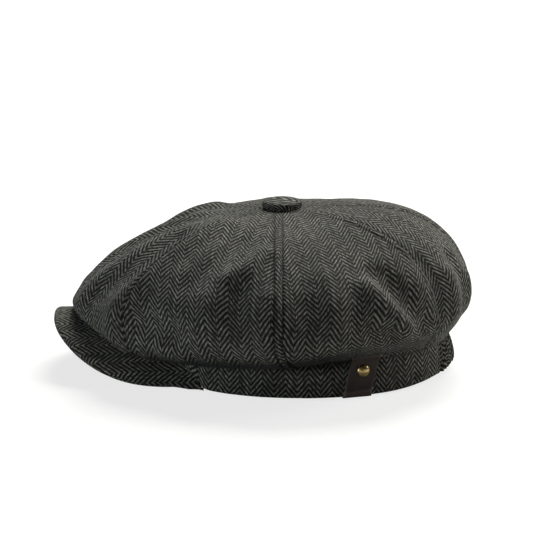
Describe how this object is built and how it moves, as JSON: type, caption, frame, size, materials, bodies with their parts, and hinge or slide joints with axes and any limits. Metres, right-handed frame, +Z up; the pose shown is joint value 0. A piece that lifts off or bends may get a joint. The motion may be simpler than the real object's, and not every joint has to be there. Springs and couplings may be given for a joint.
{
  "type": "newsboy cap",
  "caption": "Soft eight-panel tweed cap with a covered button, a stiffened peak that flexes, a banded rim with a gathered elastic back and a riveted leather tab.",
  "frame": {"origin": "centre of the head opening in the plane of the rim", "axes": "+Z up through the crown, -Y forward over the peak, +X to the wearer's left, the side with the leather tab"},
  "size_m": [0.2478, 0.2782, 0.1143],
  "materials": {
    "tweed": "charcoal and light grey herringbone wool tweed, matt, slubby",
    "satin": "black satin lining, soft sheen",
    "sweatband_cotton": "black cotton twill tape, matt",
    "buckram": "stiff woven interlining, matt",
    "elastic": "covered elastic tape, matt",
    "peak_board": "flexible plastic board, matt",
    "button_metal": "bare pressed aluminium",
    "leather": "dark brown smooth leather, worn edges",
    "antique_brass": "antique brass, polished high spots",
    "label_tape": "blank woven label tape, matt"
  },
  "bodies": {
    "cap": {"crown_panel_front_left": "tweed", "crown_panel_side_front_left": "tweed", "crown_panel_side_rear_left": "tweed", "crown_panel_rear_left": "tweed", "crown_panel_front_right": "tweed", "crown_panel_side_front_right": "tweed", "crown_panel_side_rear_right": "tweed", "crown_panel_rear_right": "tweed", "lining_panel_front_left": "satin", "lining_panel_side_front_left": "satin", "lining_panel_side_rear_left": "satin", "lining_panel_rear_left": "satin", "lining_panel_front_right": "satin", "lining_panel_side_front_right": "satin", "lining_panel_side_rear_right": "satin", "lining_panel_rear_right": "satin", "outer_band": "tweed", "band_stiffener": "buckram", "sweatband": "sweatband_cotton", "button_cover": "tweed", "button_shell": "button_metal", "button_shank": "button_metal", "button_backplate": "button_metal", "leather_tab": "leather", "rivet_cap": "antique_brass", "rivet_post": "antique_brass", "rivet_washer": "antique_brass"},
    "peak": {"peak_board": "peak_board", "peak_top_cover": "tweed", "peak_under_cover": "tweed"},
    "back": {"rear_gather": "tweed", "elastic_tape": "elastic", "rear_sweatband": "sweatband_cotton", "size_label": "label_tape"}
  },
  "joints": [
    {"name": "peak_flex", "type": "hinge", "parent": "cap", "child": "peak", "pos_m": [0, -0.066, 0.002], "axis": [1, 0, 0], "range_deg": [0, 12], "stiffness_Nm_per_rad": 0.6},
    {"name": "back_stretch", "type": "slide", "parent": "cap", "child": "back", "axis": [0, 1, 0], "range_m": [0, 0.009], "stiffness_N_per_m": 900}
  ]
}
